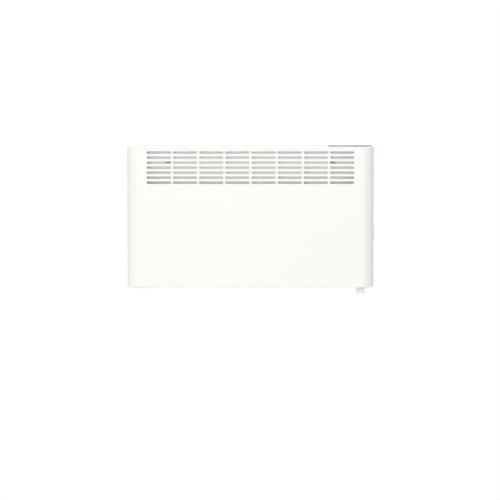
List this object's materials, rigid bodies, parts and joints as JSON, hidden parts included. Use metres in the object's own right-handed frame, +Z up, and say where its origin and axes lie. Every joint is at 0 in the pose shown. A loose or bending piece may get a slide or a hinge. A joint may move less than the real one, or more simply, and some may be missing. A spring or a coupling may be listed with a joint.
{
  "type": "wall convector heater",
  "caption": "Slim white wall convector heater with a slotted outlet grille, rounded front corners, top control panel, side rocker switch and a hang-on wall bracket with release latches.",
  "frame": {"origin": "middle of the wall bracket's four screw holes, on the wall plane", "axes": "+X along the wall to the right as seen from the room, +Y into the wall, +Z up"},
  "size_m": [0.7406, 0.1, 0.4523],
  "materials": {
    "case_paint": "fine-textured matt white powder coat",
    "rear_zinc": "bright zinc-coated sheet steel, not painted",
    "zinc_sheet": "zinc-coated sheet steel",
    "bracket_zinc": "dull zinc-coated sheet steel",
    "tube_steel": "dark annealed steel tube",
    "fin_aluminium": "mill aluminium",
    "bush_ceramic": "unglazed ceramic",
    "screw_steel": "bright zinc-plated steel",
    "circuit_board": "green solder mask",
    "component_plastic": "moulded component plastic",
    "ivory_plastic": "natural nylon",
    "gland_plastic": "dark grey nylon",
    "black_rubber": "soft black rubber",
    "brass": "plain brass",
    "switch_plastic": "satin white plastic",
    "panel_plastic": "dark grey satin plastic",
    "button_plastic": "mid grey satin plastic",
    "display_lens": "smoked glossy lens",
    "latch_plastic": "white moulded plastic",
    "red_lead": "silicone sheath",
    "white_lead": "silicone sheath",
    "grey_lead": "plastic sheath",
    "brown_lead": "plastic sheath",
    "earth_lead": "plastic sheath"
  },
  "bodies": {
    "heater": {"front_case": "case_paint", "top_cover": "case_paint", "rear_panel": "rear_zinc", "inlet_grille": "case_paint", "case_screws": "screw_steel", "cover_screws": "screw_steel", "heat_shield": "zinc_sheet", "front_baffle": "zinc_sheet", "left_element_bracket": "zinc_sheet", "right_element_bracket": "zinc_sheet", "heating_tube": "tube_steel", "element_fins": "fin_aluminium", "element_bushes": "bush_ceramic", "safety_cutout": "bush_ceramic", "compartment_wall": "zinc_sheet", "wire_grommet": "black_rubber", "power_board": "circuit_board", "board_spacers": "ivory_plastic", "power_relay": "component_plastic", "filter_capacitor": "component_plastic", "board_connectors": "ivory_plastic", "terminal_block": "ivory_plastic", "cable_gland": "gland_plastic", "gland_nut": "gland_plastic", "earth_stud": "brass", "switch_bezel": "switch_plastic", "switch_body": "gland_plastic", "room_sensor": "black_rubber", "sensor_clip": "ivory_plastic", "control_panel": "panel_plastic", "display_window": "display_lens", "display_module": "component_plastic", "control_board": "circuit_board", "tact_switches": "component_plastic", "control_housing": "latch_plastic", "control_screws": "screw_steel", "element_leads": "red_lead", "cutout_leads": "white_lead", "sensor_lead": "black_rubber", "display_lead": "grey_lead", "switch_leads": "brown_lead", "earth_lead": "earth_lead", "bracket_top_rail": "bracket_zinc", "bracket_bottom_rail": "bracket_zinc", "left_upright": "bracket_zinc", "right_upright": "bracket_zinc", "bracket_rivets": "fin_aluminium", "left_latch_guide": "latch_plastic", "right_latch_guide": "latch_plastic"},
    "rocker": {"rocker": "switch_plastic"},
    "minus_button": {"minus_button": "button_plastic"},
    "plus_button": {"plus_button": "button_plastic"},
    "menu_button": {"menu_button": "button_plastic"},
    "confirm_button": {"confirm_button": "button_plastic"},
    "left_latch": {"left_latch": "latch_plastic"},
    "right_latch": {"right_latch": "latch_plastic"}
  },
  "joints": [
    {"name": "rocker_tilt", "type": "hinge", "parent": "heater", "child": "rocker", "pos_m": [0.3655, -0.044, -0.0425], "axis": [0, 1, 0], "range_deg": [0, 20]},
    {"name": "minus_press", "type": "slide", "parent": "heater", "child": "minus_button", "axis": [0, 0, -1], "range_m": [0, 0.0008], "stiffness_N_per_m": 1500},
    {"name": "plus_press", "type": "slide", "parent": "heater", "child": "plus_button", "axis": [0, 0, -1], "range_m": [0, 0.0008], "stiffness_N_per_m": 1500},
    {"name": "menu_press", "type": "slide", "parent": "heater", "child": "menu_button", "axis": [0, 0, -1], "range_m": [0, 0.0008], "stiffness_N_per_m": 1500},
    {"name": "confirm_press", "type": "slide", "parent": "heater", "child": "confirm_button", "axis": [0, 0, -1], "range_m": [0, 0.0008], "stiffness_N_per_m": 1500},
    {"name": "left_latch_slide", "type": "slide", "parent": "heater", "child": "left_latch", "axis": [0, 0, -1], "range_m": [0, 0.0175]},
    {"name": "right_latch_slide", "type": "slide", "parent": "heater", "child": "right_latch", "axis": [0, 0, 1], "range_m": [0, 0.0175]}
  ]
}
